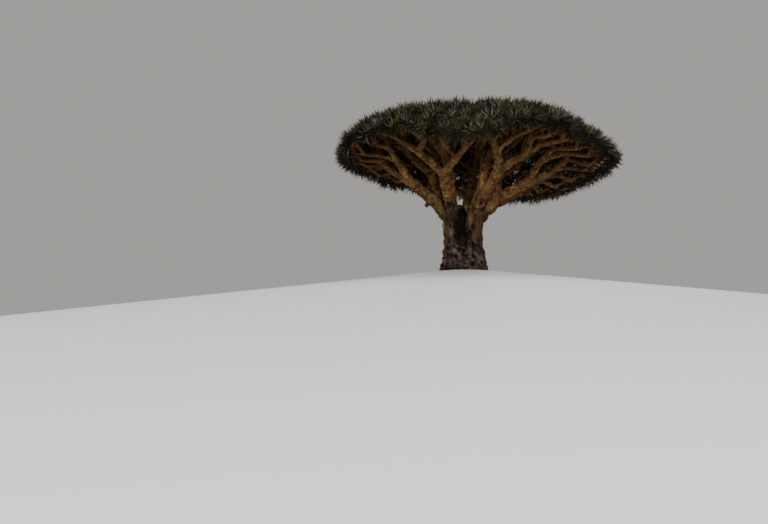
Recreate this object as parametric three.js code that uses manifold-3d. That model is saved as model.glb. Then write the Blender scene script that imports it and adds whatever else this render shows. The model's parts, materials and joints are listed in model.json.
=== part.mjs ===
// An old dragon blood tree: a stout trunk with a hollow in its front, boughs that fork in twos
// like the ribs of an umbrella, and a broad flat crown of stiff leaf rosettes.
// Millimetres, +Z up, with the origin on the ground under the trunk. Seen from the front, +X is to the right
// and +Y leads away.

import * as THREE from "three";
import { mergeVertices } from "three/addons/utils/BufferGeometryUtils.js";
import Module from "manifold-3d";

const wasm = await Module();
wasm.setup();

// The crown: the umbrella on which the rosettes sit
const CROWN_SHIFT = 370; // the crown's middle is this far to the right of the trunk
const CROWN_HALF_WIDTH = 4345;
const CROWN_HALF_DEPTH = 4150;
const CROWN_TOP = 4950;
const CROWN_FALL = 1380; // from the middle down to the rim
const CROWN_CURVE = 2.9; // a higher power keeps the top flatter and the rim steeper
const CROWN_DROOP = 0.31; // the rim falls this much more at the back right, and less across from it
const DROOP_ANGLE = THREE.MathUtils.degToRad(62);
const CROWN_SADDLE = 0.06; // the rim falls this much more at the front and back, and less at the sides
const SADDLE_ANGLE = THREE.MathUtils.degToRad(64);
const TONGUES = [0.4, 0.2, 0.3]; // and this much more where tongues of leaves hang: front, back right, left
const TONGUE_ANGLES = [-98, 50, 186].map(THREE.MathUtils.degToRad);
const TONGUE_WIDTHS = [15, 24, 24].map(THREE.MathUtils.degToRad);
const CROWN_TWIST = 0.5; // how far the sectors wind round the crown from its middle to its rim
const CROWN_LOBE = 0.035; // how far the outline swells and draws in, as a share of its radius
const CROWN_LOBES = [2, 5]; // it does so this often on its way round, in two waves
const LOBE_TURNS = [0.6, 1.9];
const CROWN_HUMP = 70; // soft humps on the top
const HUMPS_ROUND = 3;
const HUMPS_OUT = 5;

// The trunk: its radius is a waist, a root flare below it and a goblet above it
const TRUNK_WAIST = 605;
const TRUNK_FLARE = 125;
const TRUNK_FLARE_HEIGHT = 700;
const TRUNK_GOBLET = 110;
const TRUNK_WAIST_HEIGHT = 1150;
const TRUNK_SHOULDER = 1960;
const TRUNK_TOP = 2120;
const TRUNK_TOP_EDGE = 2090; // the top is a low dome that starts here
const TRUNK_TOP_WIDTH = 0.6; // its width as a share of the shoulder's
const TRUNK_RIB = 0.1; // ribs that run down from the boughs, as a share of the radius
const RIB_WIDTH = 0.24; // in radians
const RIB_FOOT = 500; // the ribs fade out down to this height
const ROOT_LOBE = 0.09; // swellings of the root flare, as a share of the radius
const ROOT_LOBES = 6;
const ROOT_LOBE_HEIGHT = 450;
const ROOT_LOBE_TURN = 0.9;

// The hollow in the front of the trunk
const HOLLOW_ANGLE = THREE.MathUtils.degToRad(-105);
const HOLLOW_HALF_WIDTH = 240;
const HOLLOW_MIDDLE = 1490;
const HOLLOW_HALF_HEIGHT = 690;
const HOLLOW_DEPTH = 400;
const CLEFT = 0.3; // boughs beside the hollow stand this much further apart, so a cleft runs up from it

// Boughs: seven rise from the trunk, each in its own sector of the crown, and every fork halves the area
// that a limb serves
const SECTOR_EDGES = [-147, -96, -43, 6, 55, 107, 162].map(THREE.MathUtils.degToRad);
const FIRST_SECTOR_NUMBER = 8; // sectors are numbered from here, and a limb's halves double its number
const FORK_SHARES = [0.19, 0.44, 0.64, 0.78, 0.89, 1]; // how far along its way each generation forks
const BOUGH_GENERATIONS = 3; // boughs reach to the third fork, and the masses carry on from there
const BOUGH_END = 2.84; // a bough stops just short of its third fork
const START_RING = 395; // where the boughs start inside the trunk: this far from its axis
const START_HEIGHT = 1450;
const START_RADIUS = 255;
const RISE_OUT = 0.42; // a limb first climbs, then spreads: the bend in its way, across and up
const RISE_UP = 0.62;
const FIRST_RADIUS = 226;
const FORK_TAPER = 0.77; // each generation is this much thinner than its parent
const SIDE_BASE = 0.87; // a side limb starts this much thinner than the limb it leaves
const WANDER = 0.07; // how far forks stray from the rule, as a share of the limb's length
const SPLIT_STRAY = 0.08; // how unequal the two parts of a space may be
const RADIUS_STRAY = 0.1;
const CLEAR = 0.35; // gap between pieces that meet

// Rosettes: each stands for a cluster of leaf tufts
const ROSETTE_POINTS = 6;
const ROSETTE_REACH = 410;
const ROSETTE_SPIKE = 330;
const ROSETTE_NOTCH = 0.62; // the drooping leaves between two points reach this share as far
const ROSETTE_SPREAD = THREE.MathUtils.degToRad(68); // from the rosette's axis to its points
const ROSETTE_DROOP = THREE.MathUtils.degToRad(104); // from its axis to the drooping leaves
const ROSETTE_TURN = 0.4; // how far its axis turns from straight up out of the crown towards its twig's way
const REACH_STRAY = 0.15;
const FIRST_LEAF_TRAIT = 10;
const SHORTEST_LEAF = 80;
const DRAW_IN = 0.94; // a leaf point that would leave its space is shortened by this until it fits
const ROSETTE_CLEAR = 8; // leaf points stay this far inside the space of their own twig
const MASS_CLEAR = 22; // and this far inside the space of their mass

// Facets
const TRUNK_SIDES = 30;
const TRUNK_RINGS = 11;
const HOLLOW_SIDES = 10;
const HOLLOW_RINGS = 8;
const BOUGH_SIDES = 7;
const BOUGH_STEPS = 2; // rings for each generation of a bough
const TWIG_SIDES = 3;
const TWIG_ROOT = 0.7; // the root of a twig, sunk in its parent, is this much thinner than the twig
const NORMAL_TILT = 0.2; // keeps the first normal of a tube from lying along a level limb
const SAME_POINT = 1e-3; // points nearer than this are one

const BARK = new THREE.MeshStandardMaterial({ color: 0x6f5132, roughness: 0.9, metalness: 0 });
const LIMB = new THREE.MeshStandardMaterial({ color: 0x8a6434, roughness: 0.85, metalness: 0 });
const LEAF = new THREE.MeshStandardMaterial({ color: 0x454c38, roughness: 0.6, metalness: 0 });

// A number from 0 to 1 that depends only on a limb's number and on which of its traits is asked for.
function chance(id, trait) {
  const wave = Math.sin(id * 12.9898 + trait * 78.233) * 43758.5453;
  return wave - Math.floor(wave);
}

// A factor near 1 that strays to either side by at most this share.
function stray(id, trait, share) {
  return 1 + share * (2 * chance(id, trait) - 1);
}

function wrap(angle) {
  return Math.atan2(Math.sin(angle), Math.cos(angle));
}

// A closed geometry as a solid that can be joined and cut.
function solid(geometry) {
  const bare = geometry.clone();
  bare.deleteAttribute("normal");
  bare.deleteAttribute("uv");
  const merged = mergeVertices(bare, SAME_POINT);
  const { array } = merged.index;
  const faces = [];
  for (let i = 0; i < array.length; i += 3) {
    const [a, b, c] = array.slice(i, i + 3);
    if (a !== b && b !== c && c !== a) faces.push(a, b, c);
  }
  return new wasm.Manifold(
    new wasm.Mesh({
      numProp: 3,
      vertProperties: merged.attributes.position.array,
      triVerts: new Uint32Array(faces),
    }),
  );
}

// A solid as a named mesh of the tree.
function piece(name, made, material) {
  const { numVert, numProp, vertProperties, triVerts } = made.getMesh();
  const points = new Float32Array(numVert * 3);
  for (let i = 0; i < numVert; i++) {
    points.set(vertProperties.subarray(i * numProp, i * numProp + 3), i * 3);
  }
  const geometry = new THREE.BufferGeometry();
  geometry.setAttribute("position", new THREE.BufferAttribute(points, 3));
  geometry.setIndex(new THREE.BufferAttribute(triVerts, 1));
  geometry.computeVertexNormals();
  const mesh = new THREE.Mesh(geometry, material);
  mesh.name = name;
  return mesh;
}

// How far the crown's outline swells at this angle round it.
function outline(angle) {
  const waves = CROWN_LOBES.map((lobes, i) => Math.sin(lobes * angle + LOBE_TURNS[i]));
  return 1 + CROWN_LOBE * (waves[0] + waves[1]);
}

// How far the sectors are wound round at this share of the crown's radius: not at all at their middle.
function crownTwist(radius) {
  return CROWN_TWIST * (radius - Math.SQRT1_2);
}

// The place on the umbrella at an angle round the crown, with a share of the crown's area inside it.
function crownPoint(angle, share) {
  const radius = Math.sqrt(share);
  const turned = angle + crownTwist(radius);
  const x = CROWN_SHIFT + radius * outline(turned) * CROWN_HALF_WIDTH * Math.cos(turned);
  const y = radius * outline(turned) * CROWN_HALF_DEPTH * Math.sin(turned);
  const droop = CROWN_DROOP * Math.cos(turned - DROOP_ANGLE);
  const saddle = CROWN_SADDLE * Math.cos(2 * (turned - SADDLE_ANGLE));
  const tongue = TONGUES.reduce(
    (sum, hang, i) => sum + hang * Math.exp(-((wrap(turned - TONGUE_ANGLES[i]) / TONGUE_WIDTHS[i]) ** 2)),
    0,
  );
  const fall = CROWN_FALL * (1 + droop + saddle + tongue) * radius ** CROWN_CURVE;
  const hump = CROWN_HUMP * radius * Math.sin(HUMPS_ROUND * turned + HUMPS_OUT * radius);
  return new THREE.Vector3(x, y, CROWN_TOP - fall + hump);
}

// The direction straight out of the umbrella.
function crownNormal(angle, share) {
  const step = 0.02;
  const here = crownPoint(angle, share);
  const round = crownPoint(angle + step, share).sub(here);
  const out = crownPoint(angle, share + step).sub(here);
  return out.cross(round).normalize();
}

// The space a limb serves: a stretch of angle and of area share, with the number of the limb.
function space(id, angles, shares) {
  return { id, angles, shares, angle: (angles[0] + angles[1]) / 2, share: (shares[0] + shares[1]) / 2 };
}

// A fork shares a space between two limbs, across its longer side.
function halves({ id, angles, shares, angle, share }) {
  const cut = stray(id, 1, SPLIT_STRAY) / 2;
  const along = (angles[1] - angles[0]) * Math.sqrt(share);
  const across = Math.sqrt(shares[1]) - Math.sqrt(shares[0]);
  if (along > across) {
    const middle = angles[0] + (angles[1] - angles[0]) * cut;
    return [space(2 * id, [angles[0], middle], shares), space(2 * id + 1, [middle, angles[1]], shares)];
  }
  const middle = shares[0] + (shares[1] - shares[0]) * cut;
  return [space(2 * id, angles, [shares[0], middle]), space(2 * id + 1, angles, [middle, shares[1]])];
}

// Where the limb of this space forks, or carries its rosette.
function forkPoint({ id, angle, share }, generation, start) {
  const end = crownPoint(angle, share);
  const span = end.clone().sub(start);
  const rise = new THREE.Vector3(RISE_OUT, RISE_OUT, RISE_UP);
  const bend = start.clone().add(span.clone().multiply(rise));
  const way = new THREE.QuadraticBezierCurve3(start, bend, end);
  const wander = (WANDER * span.length()) / 2 ** (generation / 2);
  const offset = [2, 3, 4].map((trait) => (chance(id, trait) - 0.5) * wander);
  return way.getPoint(FORK_SHARES[generation - 1]).add(new THREE.Vector3(...offset));
}

// Radius of a limb where it ends its generation.
function forkRadius(id, generation) {
  return FIRST_RADIUS * FORK_TAPER ** (generation - 0.5) * stray(id, 5, RADIUS_STRAY);
}

// Follows a limb from fork to fork. The straighter child carries the strand on. The other starts a new
// strand, which keeps the points below it so that it leaves its parent smoothly.
function grow(place, generation, strand, strands) {
  strand.points.push(forkPoint(place, generation, strand.points[0]));
  strand.radii.push(forkRadius(place.id, generation));
  strand.spaces.push(place);
  if (generation === FORK_SHARES.length) return;
  const [last, here] = strand.points.slice(-2);
  const ahead = here.clone().sub(last).normalize();
  const onward = (child) =>
    forkPoint(child, generation + 1, strand.points[0]).sub(here).normalize().dot(ahead);
  const [straight, side] = halves(place).sort((one, other) => onward(other) - onward(one));
  const branch = {
    born: generation,
    points: [...strand.points],
    radii: [...strand.radii],
    spaces: [...strand.spaces],
  };
  strands.push(branch);
  grow(straight, generation + 1, strand, strands);
  grow(side, generation + 1, branch, strands);
}

// The first and last angle of a sector.
function sectorSpan(index) {
  return [SECTOR_EDGES[index], SECTOR_EDGES[index + 1] ?? SECTOR_EDGES[0] + 2 * Math.PI];
}

// Where a sector's first bough leaves the trunk: at the sector's middle, but moved away from the hollow.
function startAngle(index) {
  const [first, last] = sectorSpan(index);
  const middle = (first + last) / 2;
  const away = wrap(middle - HOLLOW_ANGLE);
  return middle + CLEFT * Math.sign(away) * Math.exp(-(away ** 2));
}

// All strands of one sector of the crown, its first bough first.
function sectorStrands(index) {
  const place = space(FIRST_SECTOR_NUMBER + index, sectorSpan(index), [0, 1]);
  const angle = startAngle(index);
  const start = new THREE.Vector3(START_RING * Math.cos(angle), START_RING * Math.sin(angle), START_HEIGHT);
  const strand = { born: 0, points: [start], radii: [START_RADIUS], spaces: [place] };
  const strands = [strand];
  grow(place, 1, strand, strands);
  return strands;
}

// Radius of a strand at a place counted in forks from the trunk.
function strandRadius({ born, radii }, place) {
  const fork = Math.min(Math.floor(place), radii.length - 2);
  const radius = THREE.MathUtils.lerp(radii[fork], radii[fork + 1], place - fork);
  return born ? Math.min(radius, radii[born] * SIDE_BASE) : radius;
}

// A closed tube of rings: a unit cylinder whose points are moved, ring by ring, to where at() puts them.
function tubeGeometry(columns, count, at) {
  const geometry = new THREE.CylinderGeometry(1, 1, 1, columns, count);
  const positions = geometry.attributes.position;
  for (let i = 0; i < positions.count; i++) {
    const ring = Math.round((positions.getY(i) + 0.5) * count);
    const point = at(ring, positions.getX(i), positions.getZ(i));
    positions.setXYZ(i, point.x, point.y, point.z);
  }
  return geometry;
}

// Places of a limb's rings, counted in forks: its start, its end and each full step between them.
function ringPlaces(from, to, stepsPerFork) {
  const first = Math.floor(from * stepsPerFork) + 1;
  const count = Math.ceil(to * stepsPerFork) - first;
  return [from, ...Array.from({ length: count }, (_, i) => (first + i) / stepsPerFork), to];
}

// Frames along a strand at such places, each scaled to the limb's radius there.
function limbRings(strand, places, grown = 0) {
  const forks = strand.points.length - 1;
  const curve = new THREE.CatmullRomCurve3(strand.points, false, "catmullrom", 0.5);
  const roll = 2 * Math.PI * chance(strand.spaces[0].id, 6);
  const normal = new THREE.Vector3(Math.cos(roll), Math.sin(roll), NORMAL_TILT);
  return places.map((place, i) => {
    const tangent = curve.getTangent(place / forks);
    normal.addScaledVector(tangent, -normal.dot(tangent)).normalize();
    const ends = i === 0 ? -grown : i === places.length - 1 ? grown : 0;
    const centre = curve.getPoint(place / forks).addScaledVector(tangent, ends);
    const radius = strandRadius(strand, place) + grown;
    return new THREE.Matrix4()
      .makeBasis(normal, tangent, normal.clone().cross(tangent))
      .scale(new THREE.Vector3(radius, 1, radius))
      .setPosition(centre);
  });
}

// A bough: the stretch of its strand that ends just before the third fork.
function boughGeometry(strand, grown) {
  const rings = limbRings(strand, ringPlaces(strand.born, BOUGH_END, BOUGH_STEPS), grown);
  return tubeGeometry(BOUGH_SIDES, rings.length - 1, (ring, x, z) =>
    new THREE.Vector3(x, 0, z).applyMatrix4(rings[ring]),
  );
}

// Radius of the plain trunk at a height.
function trunkRadius(height) {
  const flare = TRUNK_FLARE * Math.exp(-((height / TRUNK_FLARE_HEIGHT) ** 2));
  const above = Math.max(0, height - TRUNK_WAIST_HEIGHT) / (TRUNK_SHOULDER - TRUNK_WAIST_HEIGHT);
  return TRUNK_WAIST + flare + TRUNK_GOBLET * above ** 2;
}

// How far the ribs and the root lobes swell the trunk.
function trunkRelief(angle, height) {
  const rise = THREE.MathUtils.smoothstep(height, RIB_FOOT, TRUNK_SHOULDER);
  const rib = SECTOR_EDGES.reduce(
    (sum, _, sector) => sum + Math.exp(-((wrap(angle - startAngle(sector)) / RIB_WIDTH) ** 2)),
    0,
  );
  const root = Math.exp(-height / ROOT_LOBE_HEIGHT) * Math.sin(ROOT_LOBES * angle + ROOT_LOBE_TURN);
  return trunkRadius(height) * (TRUNK_RIB * (rib - 0.5) * rise + ROOT_LOBE * root);
}

// The trunk: a turned body whose surface is then moved in and out by its relief.
function trunkGeometry(grown = 0) {
  const profile = [new THREE.Vector2(0, 0)];
  for (let i = 0; i <= TRUNK_RINGS; i++) {
    const height = (TRUNK_SHOULDER * i) / TRUNK_RINGS;
    profile.push(new THREE.Vector2(trunkRadius(height), height));
  }
  profile.push(new THREE.Vector2(trunkRadius(TRUNK_SHOULDER) * TRUNK_TOP_WIDTH, TRUNK_TOP_EDGE + grown));
  profile.push(new THREE.Vector2(0, TRUNK_TOP + grown));
  const geometry = new THREE.LatheGeometry(profile, TRUNK_SIDES).rotateX(Math.PI / 2);
  const positions = geometry.attributes.position;
  for (let i = 0; i < positions.count; i++) {
    const [x, y, height] = [positions.getX(i), positions.getY(i), positions.getZ(i)];
    const radius = Math.hypot(x, y);
    if (radius < 1) continue; // the two poles stay on the axis
    const angle = Math.atan2(y, x);
    const full = radius + (trunkRelief(angle, height) * radius) / trunkRadius(height) + grown;
    positions.setXYZ(i, full * Math.cos(angle), full * Math.sin(angle), height);
  }
  return geometry;
}

// The hollow in the trunk's front: an upright egg that cuts into the bark.
function hollowGeometry() {
  return new THREE.SphereGeometry(1, HOLLOW_SIDES, HOLLOW_RINGS)
    .rotateX(Math.PI / 2)
    .scale(HOLLOW_DEPTH, HOLLOW_HALF_WIDTH, HOLLOW_HALF_HEIGHT)
    .translate(trunkRadius(HOLLOW_MIDDLE), 0, HOLLOW_MIDDLE)
    .rotateZ(HOLLOW_ANGLE);
}

// Whether a point is inside a space, seen from above, and this far clear of its walls.
function inside({ angle, angles, shares }, point, gap) {
  const x = (point.x - CROWN_SHIFT) / CROWN_HALF_WIDTH;
  const y = point.y / CROWN_HALF_DEPTH;
  const turned = Math.atan2(y, x);
  const edge = outline(turned);
  const radius = Math.hypot(x, y);
  const round = turned - crownTwist(radius / edge);
  const clear = gap / CROWN_HALF_DEPTH;
  const half = (angles[1] - angles[0]) / 2;
  return (
    radius * Math.sin(half - Math.abs(wrap(round - angle))) > clear &&
    (shares[0] === 0 || radius - Math.sqrt(shares[0]) * edge > clear) &&
    (shares[1] === 1 || Math.sqrt(shares[1]) * edge - radius > clear)
  );
}

// A three-sided twig that opens at its tip into a rosette of stiff leaves: a star round a spike.
// A point that would leave the twig's own space is drawn in.
function rosetteGeometry(strand, from, home) {
  const rings = limbRings(strand, ringPlaces(from, FORK_SHARES.length, 1));
  const steps = rings.length - 1;
  if (from === strand.born) rings[0].scale(new THREE.Vector3(TWIG_ROOT, 1, TWIG_ROOT));
  const tip = strand.points.at(-1);
  const place = strand.spaces.at(-1);
  const way = new THREE.Vector3().setFromMatrixColumn(rings[steps], 1).normalize();
  const axis = crownNormal(place.angle, place.share).lerp(way, ROSETTE_TURN).normalize();
  const first = new THREE.Vector3().setFromMatrixColumn(rings[steps], 0);
  first.addScaledVector(axis, -first.dot(axis)).normalize();
  const second = first.clone().cross(axis);
  const columns = 2 * ROSETTE_POINTS;

  const fits = (leaf) => {
    const end = tip.clone().add(leaf);
    return inside(home, end, MASS_CLEAR) && inside(place, end, ROSETTE_CLEAR);
  };
  const drawnIn = (leaf) => {
    while (!fits(leaf) && leaf.length() > SHORTEST_LEAF) leaf.multiplyScalar(DRAW_IN);
    return leaf.add(tip);
  };
  const star = Array.from({ length: columns }, (_, column) => {
    const around = (2 * Math.PI * column) / columns;
    const spread = column % 2 ? ROSETTE_DROOP : ROSETTE_SPREAD;
    const share = column % 2 ? ROSETTE_NOTCH : 1;
    const reach = ROSETTE_REACH * share * stray(place.id, FIRST_LEAF_TRAIT + column, REACH_STRAY);
    const leaf = axis.clone().multiplyScalar(Math.cos(spread) * reach);
    leaf.addScaledVector(first, Math.sin(spread) * reach * Math.sin(around));
    leaf.addScaledVector(second, Math.sin(spread) * reach * Math.cos(around));
    return drawnIn(leaf);
  });
  const spike = drawnIn(axis.clone().multiplyScalar(ROSETTE_SPIKE));

  return tubeGeometry(columns, steps + 2, (ring, x, z) => {
    if (ring === steps + 2) return spike;
    const column = Math.round((Math.atan2(x, z) / (2 * Math.PI) + 1) * columns) % columns;
    if (ring === steps + 1) return star[column];
    const side = (2 * Math.PI * Math.floor((column * TWIG_SIDES) / columns)) / TWIG_SIDES;
    const out = Math.round(Math.hypot(x, z));
    return new THREE.Vector3(out * Math.sin(side), 0, out * Math.cos(side)).applyMatrix4(rings[ring]);
  });
}

// All twigs of the space at a bough's tip, joined. The first is the stem, which carries the bough on.
function crownMass(bough, strands) {
  const home = bough.spaces[BOUGH_GENERATIONS];
  const twigs = strands.filter(({ spaces }) => spaces[BOUGH_GENERATIONS] === home);
  const stemStart = BOUGH_END + CLEAR / bough.points[2].distanceTo(bough.points[3]);
  return twigs
    .map((twig) => solid(rosetteGeometry(twig, twig === bough ? stemStart : twig.born, home)))
    .reduce((sum, part) => sum.add(part));
}

// The largest body of a cut solid, without its scraps.
function largest(made) {
  return made.decompose().sort((one, other) => other.volume() - one.volume())[0];
}

const trunk = solid(trunkGeometry()).subtract(solid(hollowGeometry()));
const tree = new THREE.Group();
const boughs = new THREE.Group();
const crown = new THREE.Group();
tree.add(piece("trunk", trunk, BARK), boughs, crown);

// Each bough is cut clear of the trunk and of the boughs made before it.
const cutters = [solid(trunkGeometry(CLEAR))];
SECTOR_EDGES.forEach((_, sector) => {
  const strands = sectorStrands(sector);
  strands
    .filter(({ born }) => born < BOUGH_GENERATIONS)
    .forEach((strand, i) => {
      const limb = solid(boughGeometry(strand, 0));
      const bough = cutters.reduce((rest, cutter) => rest.subtract(cutter), limb);
      boughs.add(piece(`bough_${sector + 1}_${i + 1}`, largest(bough), LIMB));
      cutters.push(solid(boughGeometry(strand, CLEAR)));
      crown.add(piece(`crown_mass_${sector + 1}_${i + 1}`, crownMass(strand, strands), LEAF));
    });
});

export default tree;
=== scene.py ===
import json
import math
from collections import namedtuple

import bmesh
import bpy
import numpy as np
from mathutils import Matrix, Vector, noise

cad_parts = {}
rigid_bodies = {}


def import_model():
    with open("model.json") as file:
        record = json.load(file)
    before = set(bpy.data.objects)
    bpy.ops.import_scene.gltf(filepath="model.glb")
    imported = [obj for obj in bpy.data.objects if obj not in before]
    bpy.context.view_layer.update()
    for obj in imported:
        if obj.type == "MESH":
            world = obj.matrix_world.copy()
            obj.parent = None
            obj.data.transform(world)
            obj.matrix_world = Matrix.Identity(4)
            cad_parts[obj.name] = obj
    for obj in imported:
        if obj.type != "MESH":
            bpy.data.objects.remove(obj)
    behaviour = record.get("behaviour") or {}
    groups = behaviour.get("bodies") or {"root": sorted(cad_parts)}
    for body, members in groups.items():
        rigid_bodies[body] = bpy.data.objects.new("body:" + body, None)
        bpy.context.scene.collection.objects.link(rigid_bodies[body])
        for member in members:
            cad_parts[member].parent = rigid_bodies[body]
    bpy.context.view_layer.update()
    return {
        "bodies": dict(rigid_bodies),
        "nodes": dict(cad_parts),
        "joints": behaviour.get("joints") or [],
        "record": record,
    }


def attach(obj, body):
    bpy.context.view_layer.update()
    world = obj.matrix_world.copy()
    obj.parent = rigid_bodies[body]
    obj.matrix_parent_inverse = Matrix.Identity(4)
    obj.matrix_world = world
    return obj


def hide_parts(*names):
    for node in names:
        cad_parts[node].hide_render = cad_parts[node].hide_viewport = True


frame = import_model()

# An old dragon blood tree. The plain solids are dressed with a bark skin over the trunk and boughs, with
# finer limbs and twigs that grow on from the boughs by the same rule, and with rosettes of stiff leaves.
# Metres, +Z up, origin on the ground under the trunk. Seen from the front, +X is to the right.

# The crown: the umbrella on which the rosettes sit, as in the solids
CROWN_SHIFT = 0.37  # the crown's middle is this far to the right of the trunk
CROWN_HALF_WIDTH = 4.345
CROWN_HALF_DEPTH = 4.15
CROWN_TOP = 4.95
CROWN_FALL = 1.38  # from the middle down to the rim
CROWN_CURVE = 2.9  # a higher power keeps the top flatter and the rim steeper
CROWN_DROOP = 0.31  # the rim falls this much more at the back right, and less across from it
DROOP_ANGLE = math.radians(62)
CROWN_SADDLE = 0.06  # the rim falls this much more at the front and back, and less at the sides
SADDLE_ANGLE = math.radians(64)
TONGUES = (  # and this much more where tongues of leaves hang, each at its angle and over its width
    (0.4, math.radians(-98), math.radians(15)),
    (0.2, math.radians(50), math.radians(24)),
    (0.3, math.radians(186), math.radians(24)),
)
CROWN_TWIST = 0.5  # how far the sectors wind round the crown from its middle to its rim
UNTWISTED_SHARE = 0.5  # with this share of its area inside, they stand where they leave the trunk
CROWN_LOBE = 0.035  # how far the outline swells and draws in, as a share of its radius
CROWN_LOBES = (2, 5)  # it does so this often on its way round, in two waves
LOBE_TURNS = (0.6, 1.9)
CROWN_HUMP = 0.07  # soft humps on the top
HUMPS_ROUND = 3
HUMPS_OUT = 5
NORMAL_STEP = 0.02  # the umbrella's slope is taken over this step, round it and outwards

# The trunk, as in the solids: a waist, a root flare below it and a goblet above it
TRUNK_WAIST = 0.605
TRUNK_FLARE = 0.125
TRUNK_FLARE_HEIGHT = 0.7
TRUNK_GOBLET = 0.11
TRUNK_WAIST_HEIGHT = 1.15
TRUNK_SHOULDER = 1.96
TRUNK_TOP = 2.12
TRUNK_RIB = 0.1  # ribs that run down from the boughs, as a share of the radius
RIB_LEVEL = 0.5  # the trunk draws in between them by this much of a rib
RIB_WIDTH = 0.24  # in radians
RIB_FOOT = 0.5  # the ribs fade out down to this height
ROOT_LOBE = 0.09  # swellings of the root flare, as a share of the radius
ROOT_LOBES = 6
ROOT_LOBE_HEIGHT = 0.45
ROOT_LOBE_TURN = 0.9

# The hollow in its front, as in the solids
HOLLOW_ANGLE = math.radians(-105)
HOLLOW_HALF_WIDTH = 0.24
HOLLOW_MIDDLE = 1.49
HOLLOW_HALF_HEIGHT = 0.69
HOLLOW_DEPTH = 0.4
CLEFT = 0.3  # boughs beside the hollow stand this much further apart, so a cleft runs up from it

# The limbs, as in the solids up to the fourth fork but a little slimmer, and on from there to finer twigs
SECTOR_EDGES = [math.radians(edge) for edge in (-147, -96, -43, 6, 55, 107, 162)]
BOUGHS_PER_SECTOR = 4
FIRST_SECTOR_NUMBER = 8  # sectors are numbered from here, and a limb's halves double its number
FORK_SHARES = (0.19, 0.44, 0.64, 0.78, 0.86, 0.92, 0.965, 1)  # how far along its way each generation forks
START_RING = 0.395  # where the boughs start inside the trunk: this far from its axis
START_HEIGHT = 1.45
START_RADIUS = 0.255
RISE = Vector((0.42, 0.42, 0.62))  # a limb first climbs, then spreads: the bend in its way, across and up
FIRST_RADIUS = 0.226
FORK_TAPER = 0.745  # each generation has this share of its parent's radius
SIDE_BASE = 0.87  # and a side limb starts with this share of the radius of the limb it leaves
WANDER = 0.07  # how far forks stray from the rule, as a share of the limb's length
SPLIT_STRAY = 0.08  # how unequal the two parts of a space may be
RADIUS_STRAY = 0.1
NORMAL_TILT = 0.2  # keeps the first normal of a tube from lying along a level limb

# Chance, by the last digits of a sine
NUMBER_TURN = 12.9898  # a limb's number turns the sine by this, and the number of the trait by the next
TRAIT_TURN = 78.233
CHANCE_STRETCH = 43758.5453  # and this stretches it until its last digits look random
SPLIT_TRAIT = 1  # the traits that chance gives a limb, each with a number of its own
WANDER_TRAITS = (2, 3, 4)
RADIUS_TRAIT = 5
ROLL_TRAIT = 6
AXIS_TRAITS = (20, 21, 22)
TIP_TRAIT = 23
FIRST_KNOB_TRAIT = 40

# The skin of the trunk
TRUNK_SIDES = 120
TRUNK_RINGS = 90
TRUNK_FOOT = -0.08  # the skin is made this far into the ground and then cut level
LAST_RING = 0.99  # its last ring lies this far up the trunk, where the dome on top has nearly closed
TRUNK_VOXEL = 0.0187
SKIN_SOFTNESS = 0.6  # the forks of every skin are softened by this factor, and in so many rounds
SKIN_SOFT_ROUNDS = 6
FOOT_TOP = 0.86  # the gnarled foot ends here, in a ledge under the hollow
FOOT_EDGE = 0.08
FOOT_BULGE = 0.05
FOOT_BULGE_WIDTH = 0.8  # the foot bulges in front only, by this angle to either side of the hollow
FOOT_WAVES = 5
FOOT_WAVE = 0.06
RECESS_DEPTH = 0.13  # the bark stands back in a wider recess round the hollow
RECESS_HALF_WIDTH = 0.38
RECESS_EDGE = 0.5  # a higher share makes the edge of the recess softer
RECESS_END = (1.4, 2.1)  # between these heights the recess fades out
HOLLOW_STEEPNESS = 1.3  # a higher value makes the wall of the hollow steeper and its floor wider
HOLLOW_BLUNTNESS = 4  # a higher power makes its upper end blunter
RAGGED = 0.55  # how far the edges of the hollow and the recess wander
RAGGED_SIZE = 0.22
POCKETS = (  # smaller rotten holes: angle, height, half width, half height and depth
    (math.radians(-76), 1.1, 0.15, 0.17, 0.2),
    (math.radians(-124), 1.52, 0.07, 0.15, 0.13),
)
STUMP = (Vector((-0.92, -0.2, 2.36)), Vector((-1.23, -0.27, 2.06)))  # of a limb lost from the left shoulder
STUMP_RADIUS = 0.09
FISSURE_SPACING = 0.17
FISSURE_STRETCH = 0.2  # fissures run upright, so their pattern is drawn out that way
FISSURE_DEPTH = 0.06
FISSURE_SHARPNESS = 3.5
FOOT_FISSURE_LOSS = 0.5  # fissures are this much shallower on the foot
KNUCKLE_SIZE = 0.24
KNUCKLE_DEPTH = 0.06
KNUCKLE_FINER = 2.3  # on the knuckles sit others that are finer and lower by these factors
KNUCKLE_LOWER = 0.4
PIT_SIZE = 0.12
PIT_DEPTH = 0.08
PIT_EDGE = (0.02, 0.4)  # pits start and are deepest at these values of a noise from -1 to 1
PIT_WAVE = 0.3  # and they fade out at about the foot's top, along a wavy line
PIT_WAVE_SIZE = 0.45
PIT_FADE = 0.12

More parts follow.
